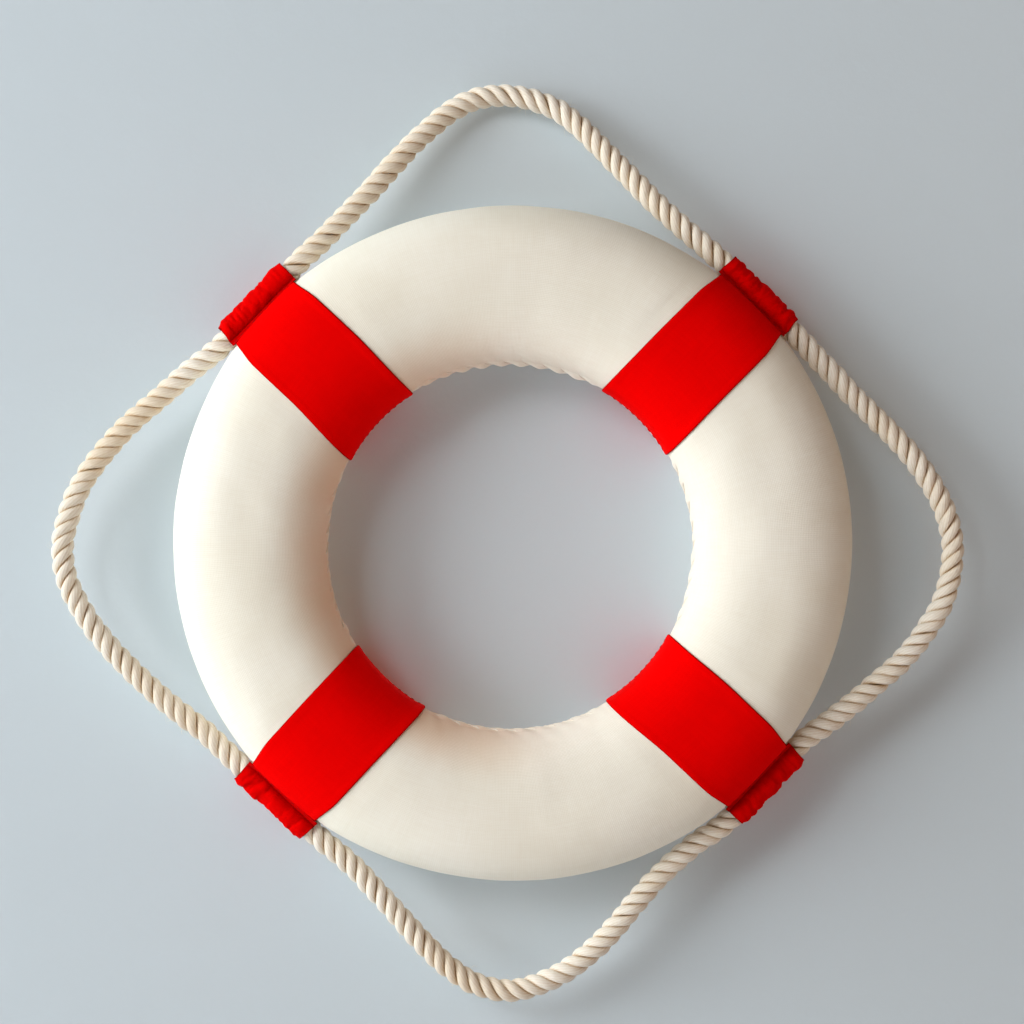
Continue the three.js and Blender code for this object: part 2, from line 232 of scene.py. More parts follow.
def noise(seed, u, v):
    """Smooth value noise from -1 to 1 over two coordinates, whose cells are one unit wide."""
    lattice = np.random.default_rng(seed).uniform(-1, 1, (64, 64))
    u0, v0 = np.floor(u).astype(int), np.floor(v).astype(int)
    fu, fv = u - u0, v - v0
    fu, fv = fu * fu * (3 - 2 * fu), fv * fv * (3 - 2 * fv)

    def at(i, j):
        return lattice[(u0 + i) % 64, (v0 + j) % 64]

    near = at(0, 0) * (1 - fu) + at(1, 0) * fu
    far = at(0, 1) * (1 - fu) + at(1, 1) * fu
    return near * (1 - fv) + far * fv


def unit(vectors):
    return vectors / np.linalg.norm(vectors, axis=-1, keepdims=True)


def signed_power(value, power):
    return np.sign(value) * np.abs(value) ** power


# ---- The ring's surfaces ----


def place(degrees, along, out, depth):
    """The point a distance out from the ring's middle at an angle round it, another distance along the rim
    there, and at a depth."""
    angle = np.radians(degrees)
    x = np.cos(angle) * out - np.sin(angle) * along
    z = np.sin(angle) * out + np.cos(angle) * along
    return RING_CENTRE + np.stack(np.broadcast_arrays(x, depth, z), axis=-1)


def as_moulded(points):
    """Moves points of the ring to the slightly uneven shape that the foam came out in."""
    local = points - RING_CENTRE
    distance = np.hypot(local[..., 0], local[..., 2])
    outward = local / np.maximum(distance, HOLE_RADIUS / 2)[..., None] * np.array([1, 0, 1])
    inner = smoothstep(MID_RADIUS, HOLE_RADIUS, distance)[..., None]
    outer = smoothstep(MID_RADIUS, OUTER_RADIUS, distance)
    upright = outward[..., 2] ** 2 - outward[..., 0] ** 2
    flat = FLATTENING * np.maximum(upright, 0)
    flat = flat + LEFT_FLATTENING * np.maximum(-upright, 0) * (outward[..., 0] < 0)
    return points + inner * (HOLE_SHIFT + HOLE_GROWTH * outward) - (flat * outer)[..., None] * outward


def section(turn, offset):
    """The tube's section: distance from the ring's middle, and depth."""
    across = (HALF_WIDTH + offset) * signed_power(np.cos(turn), 2 / SECTION_POWER)
    deep = (HALF_DEPTH + offset) * signed_power(np.sin(turn), 2 / SECTION_POWER)
    return MID_RADIUS + across, np.minimum(deep, BACK_FLAT_DEPTH + offset)


def seat(offset):
    """How far out the flat under a sleeve lets a layer reach."""
    return SEAT_DISTANCE + offset - SEATED_OFFSET


def on_ring(degrees, turn, offset):
    """A point of a layer that goes round the ring, held in where a sleeve presses on it."""
    point = place(degrees, 0.0, *section(turn, offset)) - RING_CENTRE
    for middle in BANDS.values():
        outward = place(middle, 0.0, 1.0, 0.0) - RING_CENTRE
        excess = np.maximum(point @ outward - seat(offset), 0)
        point = point - excess[..., None] * outward
    return as_moulded(point + RING_CENTRE)


def even_turns(count, slit):
    """Turns round the section at even steps of its length, finer by the inner rim, without the slit there."""
    fine = evenly(-math.pi + slit, math.pi - slit, 4001)
    distance, depth = section(fine, 0.0)
    steps = np.hypot(np.diff(distance), np.diff(depth))
    density = 1 + 2.2 * smoothstep(0.012, 0.004, np.abs(depth)) * (distance < MID_RADIUS)
    length = np.concatenate([[0], np.cumsum(steps * density[1:])])
    return np.interp(evenly(0, length[-1], count), length, fine)


def section_lengths(turns):
    """The distance round the section to each turn."""
    return lengths_along(np.stack(section(turns, 0.0), axis=-1))


def quarter_angles(quarter):
    first, last = (BANDS[band] for band in quarter["bands"])
    return first, last if last > first else last + FULL_TURN


# ---- Meshes ----


def grid_corners(rows, columns, closed_rows=False, closed_columns=False):
    """Each quad's corners, as row and column numbers that don't wrap."""
    i = np.arange(rows if closed_rows else rows - 1)
    j = np.arange(columns if closed_columns else columns - 1)
    i, j = (a.ravel() for a in np.meshgrid(i, j, indexing="ij"))
    return np.stack([i, i + 1, i + 1, i], axis=1), np.stack([j, j, j + 1, j + 1], axis=1)


def plain_object(name, points, faces):
    mesh = bpy.data.meshes.new(name)
    mesh.from_pydata(np.asarray(points).reshape(-1, 3).tolist(), [], faces)
    piece = bpy.data.objects.new(name, mesh)
    bpy.context.scene.collection.objects.link(piece)
    return piece


def mesh_piece(name, points, faces, corners_uv, flats=()):
    """A smooth mesh object. corners_uv gives each face corner's place on the cloth or rope, in metres."""
    first = points[faces]
    volume = np.einsum("ij,ij->", first[:, 0], np.cross(first[:, 1], first[:, 2]))
    volume += np.einsum("ij,ij->", first[:, 0], np.cross(first[:, 2], first[:, 3]))
    if volume < 0:
        faces, corners_uv = faces[:, ::-1], corners_uv[:, ::-1]
        flats = [flat[::-1] for flat in flats]
    piece = plain_object(name, points, faces.tolist() + [flat.tolist() for flat in flats])
    mesh = piece.data
    padding = np.zeros((sum(len(flat) for flat in flats), 2))
    uv = np.concatenate([corners_uv.reshape(-1, 2), padding])
    mesh.uv_layers.new(name="cloth").data.foreach_set("uv", uv.astype(np.float32).ravel())
    mesh.polygons.foreach_set("use_smooth", [True] * len(faces) + [False] * len(flats))
    mesh.update()
    return piece


def thin_shell(name, outer, inner, u, v):
    """A closed shell between two matching grids of points; u and v are the rows' and columns' places."""
    rows, columns = outer.shape[:2]
    layer = rows * columns
    row, column = grid_corners(rows, columns)
    faces = row * columns + column
    uv = np.stack([u[row], v[column]], axis=-1)

    def edge(points, along, across, row_edge, turned):
        """The quads that join the two layers along one edge, and their places on the cloth."""
        quads = np.stack([points[:-1], points[:-1] + layer, points[1:] + layer, points[1:]], axis=1)
        along = np.stack([along[:-1], along[:-1], along[1:], along[1:]], axis=1)
        spot = (np.full_like(along, across), along) if row_edge else (along, np.full_like(along, across))
        spot = np.stack(spot, axis=-1)
        return (quads[:, ::-1], spot[:, ::-1]) if turned else (quads, spot)

    number = np.arange(layer).reshape(rows, columns)
    edges = [
        edge(number[:, 0], u, v[0], False, False),
        edge(number[:, -1], u, v[-1], False, True),
        edge(number[0], v, u[0], True, True),
        edge(number[-1], v, u[-1], True, False),
    ]
    all_faces = np.concatenate([faces, faces[:, ::-1] + layer, *(quads for quads, _ in edges)])
    all_uv = np.concatenate([uv, uv[:, ::-1], *(spot for _, spot in edges)])
    points = np.concatenate([outer.reshape(-1, 3), inner.reshape(-1, 3)])
    return mesh_piece(name, points, all_faces, all_uv)


def paint(piece, name, values):
    """A number for each point, which the piece's material reads."""
    attribute = piece.data.attributes.new(name=name, type="FLOAT", domain="POINT")
    attribute.data.foreach_set("value", np.asarray(values, np.float32).ravel())


def tint(shell, values):
    """How much of its material's tint each point of a shell takes, on both of its layers."""
    paint(shell, "tint", np.concatenate([values.ravel(), values.ravel()]))


def dress(piece, material, node):
    """Gives a piece of the ring its material, hides the CAD node that it stands for and hangs the piece on
    the ring's body.
    """
    piece.data.materials.append(MATERIALS[material])
    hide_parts(node)
    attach(piece, "ring")
    return piece


def tube_grid(path, radius, sides):
    """Rings of points round a path, without twist."""
    _, across, up = frames_along(path)
    angle = evenly(0, math.tau, sides + 1)[:-1]
    circle = np.cos(angle)[None, :, None] * across[:, None] + np.sin(angle)[None, :, None] * up[:, None]
    return path[:, None] + np.asarray(radius).reshape(-1, 1, 1) * circle


def tubes_piece(name, grids):
    """One piece of several closed tubes with flat ends, each a grid of rings."""
    points, faces, uvs, flats, start = [], [], [], [], 0
    for grid in grids:
        rings, sides = grid.shape[:2]
        row, column = grid_corners(rings, sides, closed_columns=True)
        faces.append(start + row * sides + column % sides)
        middle = grid.mean(axis=1)
        length = lengths_along(middle)
        girth = np.linalg.norm(grid[0, 0] - middle[0]) * math.tau
        uvs.append(np.stack([column * girth / sides, length[row]], axis=-1))
        flats.append(start + np.arange(sides))
        flats.append(start + (rings - 1) * sides + np.arange(sides)[::-1])
        points.append(grid.reshape(-1, 3))
        start += rings * sides
    return mesh_piece(name, np.concatenate(points), np.concatenate(faces), np.concatenate(uvs), flats)


# ---- Paths ----


def lengths_along(path):
    """The distance along a path to each of its points."""
    return np.concatenate([[0], np.cumsum(np.linalg.norm(np.diff(path, axis=0), axis=1))])


def frames_along(path):
    """A path's tangent and two directions across it, carried along without twist."""
    tangent = unit(np.gradient(path, axis=0))
    across = np.zeros_like(path)
    start = np.array([0.0, 1.0, 0.0])
    across[0] = unit(start - tangent[0] * (start @ tangent[0]))
    for i in range(1, len(path)):
        carried = across[i - 1] - tangent[i] * (across[i - 1] @ tangent[i])
        across[i] = carried / np.linalg.norm(carried)
    return tangent, across, np.cross(tangent, across)


def smooth_curve(points, step):
    """Even steps along the centripetal Catmull-Rom curve through the points, as the CAD draws it."""
    points = np.asarray(points, float)
    points = np.vstack([2 * points[0] - points[1], points, 2 * points[-1] - points[-2]])
    t = evenly(0, 1, 41)[:-1, None]
    spans = []
    for p0, p1, p2, p3 in zip(points, points[1:], points[2:], points[3:]):
        d0, d1, d2 = (math.sqrt(np.linalg.norm(b - a)) for a, b in ((p0, p1), (p1, p2), (p2, p3)))
        leave = ((p1 - p0) / d0 - (p2 - p0) / (d0 + d1) + (p2 - p1) / d1) * d1
        arrive = ((p2 - p1) / d1 - (p3 - p1) / (d1 + d2) + (p3 - p2) / d2) * d1
        cubic = 2 * p1 - 2 * p2 + leave + arrive
        square = -3 * p1 + 3 * p2 - 2 * leave - arrive
        spans.append(p1 + leave * t + square * t**2 + cubic * t**3)
    fine = np.vstack([*spans, points[-2:-1]])
    length = lengths_along(fine)
    even = evenly(0, length[-1], max(2, round(length[-1] / step)) + 1)
    return np.stack([np.interp(even, length, fine[:, k]) for k in range(3)], axis=1)


# ---- Material nodes ----


class Shader:
    """A material's node tree, with short ways to add to it."""

    def __init__(self, name, roughness, sheen=0.0, specular=0.2):
        self.material = bpy.data.materials.new(name)
        self.material.use_nodes = True
        self.nodes = self.material.node_tree.nodes
        self.links = self.material.node_tree.links
        self.surface = self.nodes["Principled BSDF"]
        self.surface.inputs["Roughness"].default_value = roughness
        self.surface.inputs["Sheen Weight"].default_value = sheen
        self.surface.inputs["Specular IOR Level"].default_value = specular

    def add(self, kind, inputs=None, **settings):
        """A new node; each input takes a value, or a link from another node's socket."""
        node = self.nodes.new("ShaderNode" + kind)
        for key, value in settings.items():
            setattr(node, key, value)
        for key, value in (inputs or {}).items():
            if isinstance(value, bpy.types.NodeSocket):
                self.links.new(value, node.inputs[key])
            else:
                node.inputs[key].default_value = value
        return node

    def math(self, operation, a, b=0.0):
        return self.add("Math", {0: a, 1: b}, operation=operation).outputs[0]

    def times(self, a, b):
        return self.math("MULTIPLY", a, b)

    def attribute(self, name):
        return self.add("Attribute", attribute_name=name).outputs["Fac"]

    def cloth_place(self):
        """Where a point is on the flat cloth, in metres, across and along."""
        place_node = self.add("SeparateXYZ", {0: self.add("UVMap", uv_map="cloth").outputs[0]})
        return place_node.outputs[0], place_node.outputs[1]

    def noise(self, scale, detail=3.0, stretch=None):
        """Noise from 0 to 1, in cells of 1/scale metres; stretched on the cloth where stretch is given."""
        if stretch is None:
            vector = self.add("TexCoord").outputs["Object"]
        else:
            u, v = self.cloth_place()
            u, v = self.times(u, stretch[0]), self.times(v, stretch[1])
            vector = self.add("CombineXYZ", {0: u, 1: v}).outputs[0]
        return self.add("TexNoise", {"Vector": vector, "Scale": scale, "Detail": detail}).outputs[0]

    def between(self, value, low, high):
        """value scaled to run from 0 at low to 1 at high."""
        inputs = {"Value": value, "From Min": low, "From Max": high}
        return self.add("MapRange", inputs, clamp=True).outputs["Result"]

    def mix(self, share, a, b):
        """Colour a where share is 0 and colour b where it is 1."""
        return self.add("Mix", {"Factor": share, 6: a, 7: b}, data_type="RGBA").outputs[2]

    def weave(self, pitch):
        """The height of a plain weave, from 0 in its gaps to 1 on its threads."""
        u, v = self.cloth_place()
        warp = self.math("SINE", self.times(u, math.pi / pitch))
        weft = self.math("SINE", self.times(v, math.pi / pitch))
        over = self.times(self.times(warp, weft), 0.4)
        warp_top = self.times(self.math("ABSOLUTE", warp), self.math("ADD", over, 0.6))
        weft_top = self.times(self.math("ABSOLUTE", weft), self.math("SUBTRACT", 0.6, over))
        return self.math("MAXIMUM", warp_top, weft_top)

    def finish(self, colour, height, distance, strength=1.0):
        bump = self.add("Bump", {"Height": height, "Distance": distance, "Strength": strength})
        self.links.new(colour, self.surface.inputs["Base Color"])
        self.links.new(bump.outputs[0], self.surface.inputs["Normal"])
        return self.material


def rgb(hex_colour):
    """A colour as the shader takes it, from its usual screen value."""
    parts = [int(hex_colour[i:i + 2], 16) / 255 for i in (0, 2, 4)]
    linear = [part / 12.92 if part <= 0.04045 else ((part + 0.055) / 1.055) ** 2.4 for part in parts]
    return (*linear, 1.0)


def woven_material(name, pitch, colours, tinted=1.0, specular=0.15, relief=0.6):
    """Plain-woven cotton: threads and gaps, with painted shade in the gaps, thicker threads here and there,
    and slow changes of tone. The colours are its light and middle tones, its gaps and their painted shade,
    and the tint that tinted gives the strength of."""
    light, mid, gap, tint_colour = (rgb(colour) for colour in colours)
    shader = Shader(name, roughness=0.9, specular=specular)
    height = shader.weave(pitch)
    slubs = shader.noise(1.0, 2.0, stretch=(60, 900))
    slubs_across = shader.noise(1.0, 2.0, stretch=(900, 60))
    slub = shader.times(shader.math("ADD", slubs, slubs_across), 0.5)
    tone = shader.noise(18.0, 4.0)
    cloth = shader.mix(shader.between(tone, 0.35, 0.65), mid, light)
    cloth = shader.mix(shader.times(shader.between(slub, 0.62, 0.4), 0.12), cloth, gap)
    # Painted shade: the gaps between the threads are darker.
    threads = shader.between(height, 0.45, 0.15)
    cloth = shader.mix(shader.times(threads, 0.3), cloth, gap)
    cloth = shader.mix(shader.times(shader.attribute("tint"), tinted), cloth, tint_colour)
    fuzz = shader.noise(2600.0, 2.0)
    surface = shader.math("ADD", height, shader.times(shader.math("ADD", slub, fuzz), 0.5))
    return shader.finish(cloth, surface, 0.00018, relief)


def red_material(name, light, mid, gap):
    # The tint 980000 is painted shade along the hemmed edges, and in a sleeve's crease.
    return woven_material(name, RED_WEAVE, (light, mid, gap, "980000"), specular=0.02)


def rope_material():
    """Cotton rope: pale yarn tops, painted warm shade in the lay and between the yarns, fine fibres along the
    yarns and a few stains.
    """
    shader = Shader("cotton_rope", roughness=0.92, sheen=0.25)
    depth = shader.attribute("groove")
    yarn = shader.attribute("yarn")
    fibres = shader.noise(1.0, 4.0, stretch=(5200, 700))
    tone = shader.noise(45.0, 3.0)
    colour = shader.mix(shader.between(tone, 0.3, 0.7), rgb("F8F1E3"), rgb("FDFAF2"))
    worn = shader.times(shader.between(fibres, 0.62, 0.38), 0.35)
    colour = shader.mix(worn, colour, rgb("E6D6BA"))
    # Painted shade: darker between the yarns and deep in the lay between the strands.
    colour = shader.mix(shader.times(yarn, 0.26), colour, rgb("CDB48E"))
    colour = shader.mix(shader.between(depth, 0.0, 1.0), colour, rgb("CCA875"))
    handled = shader.times(shader.between(shader.noise(9.0, 2.0), 0.48, 0.68), 0.4)
    colour = shader.mix(handled, colour, rgb("DFC296"))
    return shader.finish(colour, fibres, 0.00022, 0.8)


def thread_material(name, light, dark):
    """Sewing thread: two plies that twist round each other."""
    shader = Shader(name, roughness=0.75, specular=0.1)
    u, v = shader.cloth_place()
    twist = shader.math("ADD", shader.times(u, 2200.0), shader.times(v, 4200.0))
    ply = shader.math("ABSOLUTE", shader.math("SINE", twist))
    fibres = shader.noise(1.0, 2.0, stretch=(9000, 1500))
    # Painted shade: darker in the groove between the plies.
    colour = shader.mix(shader.between(ply, 0.7, 0.1), rgb(light), rgb(dark))
    colour = shader.mix(shader.between(fibres, 0.7, 0.4), colour, rgb(dark))
    return shader.finish(colour, ply, 0.00012)


def foam_material():
    """Closed-cell foam: small cells and a few larger pits."""
    shader = Shader("foam", roughness=0.9)
    cells = shader.add("TexVoronoi", {"Vector": shader.add("TexCoord").outputs["Object"], "Scale": 900.0})
    pits = shader.noise(160.0, 3.0)
    # Painted shade: darker in the cells' hollows and in the pits.
    colour = shader.mix(shader.between(cells.outputs[0], 0.0, 0.6), rgb("DADAD6"), rgb("F6F6F3"))
    colour = shader.mix(shader.between(pits, 0.45, 0.25), colour, rgb("C9C9C4"))
    relief = shader.math("ADD", cells.outputs[0], pits)
    return shader.finish(colour, relief, 0.0002)


# ---- Foam and cover ----


def foam_core():
    degrees = evenly(0, FULL_TURN, 361)[:-1]
    turns = evenly(-math.pi, math.pi, 97)[:-1]
    points = on_ring(degrees[:, None], turns[None], -FOAM_INSET)
    rows, columns = points.shape[:2]
    row, column = grid_corners(rows, columns, True, True)
    faces = (row % rows) * columns + column % columns
    uv = np.stack([row * 0.003, column * 0.003], axis=-1)
    dress(mesh_piece("moulded_foam_ring", points.reshape(-1, 3), faces, uv), "foam", "foam_core")


def beyond_bands(degrees, distance):
    """How far a point is past the edge of the nearest band, in metres."""
    gaps = []
    for middle in BANDS.values():
        angle = np.radians((degrees - middle + 180) % FULL_TURN - 180)
        gaps.append(np.where(np.abs(angle) < 1.2, np.abs(np.sin(angle)) * distance - HALF_BAND, 1.0))
    return np.min(gaps, axis=0)


def seam_phase(degrees, depth):
    """Counts the whip stitches along the inner rim, whose threads slant across it."""
    along = np.radians(degrees) * HOLE_RADIUS
    return (along + SEAM_SLANT * (depth + SEAM_FORWARD)) / SEAM_PITCH


def seam_roll(degrees, depth, seed):
    """The height of the gathered roll along the inner rim: a puff between each whip stitch and the next."""
    phase = seam_phase(degrees, depth)
    share = phase - np.floor(phase)
    size = 0.72 + 0.42 * noise(seed + 2, np.floor(phase) * 0.73, 0.0)
    lopsided = 0.75 + 0.3 * noise(seed + 3, np.floor(phase) * 0.61, 0.0)
    puff = np.sin(math.pi * share**lopsided) ** 0.7 * size
    across = (depth + SEAM_FORWARD) / SEAM_HALF_WIDTH
    return SEAM_HEIGHT * puff * np.clip(1 - across**2, 0, 1) ** 0.9


def drag_lines(degrees, distance, past_band, seed):
    """Faint creases that run beside a band where it drags the cover."""
    shift = 0.0012 * noise(seed + 5, distance / 0.016, 0.0)
    lines = np.exp(-(((past_band - 0.0075 + shift) / 0.0007) ** 2))
    lines = lines + 0.6 * np.exp(-(((past_band - 0.0052 + shift) / 0.0005) ** 2))
    patch = smoothstep(0.15, 0.6, noise(seed + 6, distance / 0.030 + 3, degrees / 45))
    middle = smoothstep(0.118, 0.130, distance) * smoothstep(0.168, 0.156, distance)
    return -0.00022 * lines * patch * middle


def cover_offset(degrees, turn, seed, seam):
    """How far the cover stands out from its plain section; seam is the strength of the gathers there."""
    distance, depth = section(turn, 0.0)
    past_band = beyond_bands(degrees, distance)
    free = smoothstep(0.0, 0.012, past_band)
    around = depth + 2 * distance
    along = np.radians(degrees) * MID_RADIUS
    crown = smoothstep(HOLE_RADIUS + 0.004, MID_RADIUS, distance)
    crown = crown * smoothstep(OUTER_RADIUS, MID_RADIUS, distance)
    puff = CANVAS_PUFF * free * crown
    slow = 0.00032 * noise(seed, along / 0.034, around / 0.04)
    fine = 0.00012 * noise(seed + 1, along / 0.011, around / 0.025)
    inner = distance < MID_RADIUS
    from_seam = np.abs(depth + SEAM_FORWARD)
    clear = smoothstep(0.0, SEAM_CLEAR, past_band)
    fade = np.clip(1 - from_seam / PUCKER_REACH, 0, 1) ** 1.4 * inner
    phase = seam_phase(degrees, depth * 0.5)
    strength = 0.65 + 0.5 * noise(seed + 4, phase * 0.4, 0.0)
    pucker = PUCKER_HEIGHT * strength * fade * np.cos(math.tau * (phase + 0.45))
    roll = seam * np.where(inner, seam_roll(degrees, depth, seed), 0.0)
    valley = -0.0004 * seam * inner * np.exp(-((from_seam - SEAM_HALF_WIDTH - 0.0008) / 0.0011) ** 2)
    drag = drag_lines(degrees, distance, past_band, seed) * (depth < 0)
    return puff + free * (slow + fine) + drag + clear * (roll + pucker + valley)


def yellowing_and_warm_shade(degrees, turn, seed):
    """How far the cover takes its warm tan: yellowing along the inner rim, and painted warm shade on its
    shaded left side.
    """
    distance, depth = section(turn, 0.0)
    near_hole = smoothstep(HOLE_RADIUS + 0.030, HOLE_RADIUS, distance)
    # Painted warm shade as well as yellowing: less on the seam's roll, which stands in the light, and most on
    # the left of the inner rim, which faces away from the window.
    near_hole = near_hole * (1 - 0.6 * smoothstep(SEAM_HALF_WIDTH, 0.0, np.abs(depth + SEAM_FORWARD)))
    shaded = 0.05 + 0.95 * smoothstep(102, 62, np.abs(degrees - 187))
    patchy = 0.85 + 0.15 * noise(seed + 7, np.radians(degrees) * MID_RADIUS / 0.02, depth / 0.02)
    return np.clip(near_hole * shaded * patchy, 0, 1)


def cover_panel(name, quarter, seed):
    first, last = quarter_angles(quarter)
    degrees = evenly(first + COVER_TUCK, last - COVER_TUCK, COVER_ROWS)[:, None]
    turns = even_turns(SECTION_COLUMNS, SLIT)
    offset = cover_offset(degrees, turns[None], seed, SEAM_STRENGTH[name])
    outer = on_ring(degrees, turns[None], offset)
    inner = on_ring(degrees, turns[None], offset - CANVAS_THICKNESS)
    u = np.radians(degrees[:, 0]) * MID_RADIUS
    v = section_lengths(turns)
    piece = thin_shell("canvas_cover_" + name, outer, inner, u, v)
    tint(piece, yellowing_and_warm_shade(degrees, turns[None], seed))
    dress(piece, "canvas", "cover_panel_" + name)
    whip_stitches(name, quarter, seed)


def inner_turn(depth):
    """The turn at which the section's inner side has this depth."""
    rise = np.arcsin(np.abs(depth / HALF_DEPTH) ** (SECTION_POWER / 2))
    return np.where(depth < 0, rise - math.pi, math.pi - rise)


def stitches(name, lines, radius, material, node):
    """One piece of separate stitches, each a thread drawn smooth through its own line of points."""
    grids = [tube_grid(smooth_curve(line, radius), radius, 8) for line in lines]
    return dress(tubes_piece(name, grids), material, node)


def whip_stitches(name, quarter, seed):
    """The thread that closes the cover: one slanted stitch in each valley of the roll."""
    first, last = quarter_angles(quarter)
    lines = []
    start, end = (seam_phase(angle, -SEAM_FORWARD) for angle in (first, last))
    for count in range(math.ceil(start), math.floor(end) + 1):
        depth = evenly(-SEAM_HALF_WIDTH - 0.0006, SEAM_HALF_WIDTH + 0.0006, 9) - SEAM_FORWARD
        degrees = np.degrees((count * SEAM_PITCH - SEAM_SLANT * (depth + SEAM_FORWARD)) / HOLE_RADIUS)
        if np.min(beyond_bands(degrees, HOLE_RADIUS)) < SEAM_CLEAR / 2:
            continue
        turn = inner_turn(depth)
        dip = smoothstep(0.55, 1.0, np.abs(evenly(-1, 1, 9)))
        offset = cover_offset(degrees, turn, seed, SEAM_STRENGTH[name]) + LACING_RADIUS * (0.6 - 2.7 * dip)
        lines.append(on_ring(degrees, turn, offset))
    return stitches("whip_stitches_" + name, lines, LACING_RADIUS, "cream_thread", "inner_lacing_" + name)


# ---- Bands ----


def red_band(name, middle, seed):
    """A strip wrapped round the tube, drawn narrower where the sleeve pulls on it, with its ends sewn up."""
    inside = HALF_BAND - BAND_EDGE
    fine = evenly(inside, HALF_BAND, 9)[1:]
    across = np.concatenate([-fine[::-1], evenly(-inside, inside, 42), fine])[:, None]
    turns = even_turns(SECTION_COLUMNS, SLIT)
    from_edge = HALF_BAND - np.abs(across)
    distance, depth = section(turns[None], 0.0)
    around = (depth + 2 * distance) / 0.04
    pulled = 1 - BAND_PULLED_IN / HALF_BAND * smoothstep(0.158, 0.1735, distance)
    slow = 0.00022 * noise(seed, across / 0.02 + 7, around) * smoothstep(0.0, 0.008, from_edge)
    fold = 0.00022 * smoothstep(0.0, 0.0006, from_edge) * smoothstep(0.0042, 0.0034, from_edge)
    gathers = 0.5 + 0.5 * np.cos(math.tau * (across + 0.6 * depth) / 0.004)
    seam = 0.0001 * gathers * np.exp(-(((depth - BAND_SEAM_DEPTH) / 0.0022) ** 2)) * (distance < MID_RADIUS)
    seam = seam * smoothstep(0.0, 0.002, from_edge)

    def layer(offset):
        distance, depth = section(turns[None], offset)
        out = np.sqrt(distance**2 - (across * pulled) ** 2)
        out = np.minimum(out, seat(np.minimum(offset, SEATED_OFFSET)))
        return as_moulded(place(middle, across * pulled, out, depth))

    thin = smoothstep(0.0007, 0.0, from_edge)
    outer = layer(BAND_OUTER - 0.0003 * thin + fold + slow + seam)
    inner = layer(BAND_INNER - 0.0001 * thin)
    v = section_lengths(turns)
    piece = thin_shell("red_band_" + name, outer, inner, across[:, 0] + 1, v)
    # Painted shade: the band is darker along its hemmed edges.
    tint(piece, np.broadcast_to(smoothstep(0.0007, 0.0001, from_edge), outer.shape[:2]))
    dress(piece, "red_cloth", "band_" + name)
    band_stitches(name, middle)


def band_stitches(name, middle):
    """The thread that closes a band over its slit, in short slanted stitches."""
    lines = []
    for along in evenly(-HALF_BAND + 0.0035, HALF_BAND - 0.0035, BAND_STITCHES):
        share = evenly(-1, 1, 9)
        depth = BAND_SEAM_DEPTH + 0.0027 * share
        distance, depth = section(inner_turn(depth), BAND_OUTER + THREAD_RADIUS * (0.1 - 2.2 * share**4))
        across = along + 0.0013 * share
        out = np.sqrt(distance**2 - across**2)
        lines.append(as_moulded(place(middle, across, out, depth)))
    return stitches("band_stitches_" + name, lines, THREAD_RADIUS, "red_thread", "band_seam_thread_" + name)


# ---- Sleeves ----


def half_profile():
    """Half of the line across a sleeve, as depth and out: from over the rope to the flange's edge."""
    angle = evenly(0, ARCH_END, 60)
    arch = np.stack([ARCH_RADIUS * np.sin(angle), ROPE_DISTANCE + ARCH_RADIUS * np.cos(angle)], axis=1)
    flange = [(arch[-1, 0] + 0.0007, SEWN_OUT), (FLANGE_REACH, SEWN_OUT)]
    return np.vstack([arch, flange])


PROFILE = half_profile()
PROFILE_RUN = lengths_along(PROFILE)
HALF_STRIP = PROFILE_RUN[-1]
NECK_RUN = ARCH_END * ARCH_RADIUS
STRIP_RUN = evenly(-HALF_STRIP, HALF_STRIP, SLEEVE_COLUMNS)[None]


def sleeve_strip(gathering, seed):
    """A sleeve's cloth as places along the band, out and in depth, with the first small folds of its gathers.
    gathering stretches it back to the length it was cut to."""
    across = evenly(-HALF_BAND, HALF_BAND, SLEEVE_ROWS)[:, None]
    run = np.abs(STRIP_RUN)
    angle = run / ARCH_RADIUS
    bend = 0.8 * noise(seed + 3, STRIP_RUN / 0.006 + 4, across / 0.01)
    wide = 0.5 + noise(seed, across / 0.0031 + 9 + bend, STRIP_RUN / 0.016 + 5)
    small = noise(seed + 1, across / 0.0015, STRIP_RUN / 0.004)
    fold = (0.00105 * wide + 0.00040 * small) * smoothstep(NECK_RUN, 0.7 * NECK_RUN, run)
    out = np.interp(run, PROFILE_RUN, PROFILE[:, 1]) + fold * np.cos(angle)
    depth = np.sign(STRIP_RUN) * (np.interp(run, PROFILE_RUN, PROFILE[:, 0]) + fold * np.sin(angle))
    return np.stack(np.broadcast_arrays(across * gathering, out, depth), axis=-1)


def cloth_object(name, strip, cut):
    """The strip ready for the cloth solver: sewn down along its flanges, and as long as it was cut."""
    row, column = grid_corners(SLEEVE_ROWS, SLEEVE_COLUMNS)
    piece = plain_object(name, strip * SIMULATION_SCALE, (row * SLEEVE_COLUMNS + column).tolist())
    piece.shape_key_add(name="sewn")
    key = piece.shape_key_add(name="cut")
    key.data.foreach_set("co", (cut * SIMULATION_SCALE).astype(np.float32).ravel())
    key.value = 0.0
    flange = np.broadcast_to(np.abs(STRIP_RUN) > HALF_STRIP - FLANGE_HELD, (SLEEVE_ROWS, SLEEVE_COLUMNS))
    piece.vertex_groups.new(name="flanges").add(np.flatnonzero(flange).tolist(), 1.0, "REPLACE")
    cloth = piece.modifiers.new("cloth", "CLOTH")
    settings = cloth.settings
    settings.quality = 6
    settings.mass = 0.3
    settings.tension_stiffness = settings.compression_stiffness = 20
    settings.tension_damping = settings.compression_damping = settings.shear_damping = 3
    settings.shear_stiffness = 5
    settings.bending_stiffness = 0.3
    settings.air_damping = 2.0
    settings.vertex_group_mass = "flanges"
    settings.rest_shape_key = key
    settings.effector_weights.gravity = 0
    cloth.collision_settings.distance_min = SOLVER_GAP
    return piece


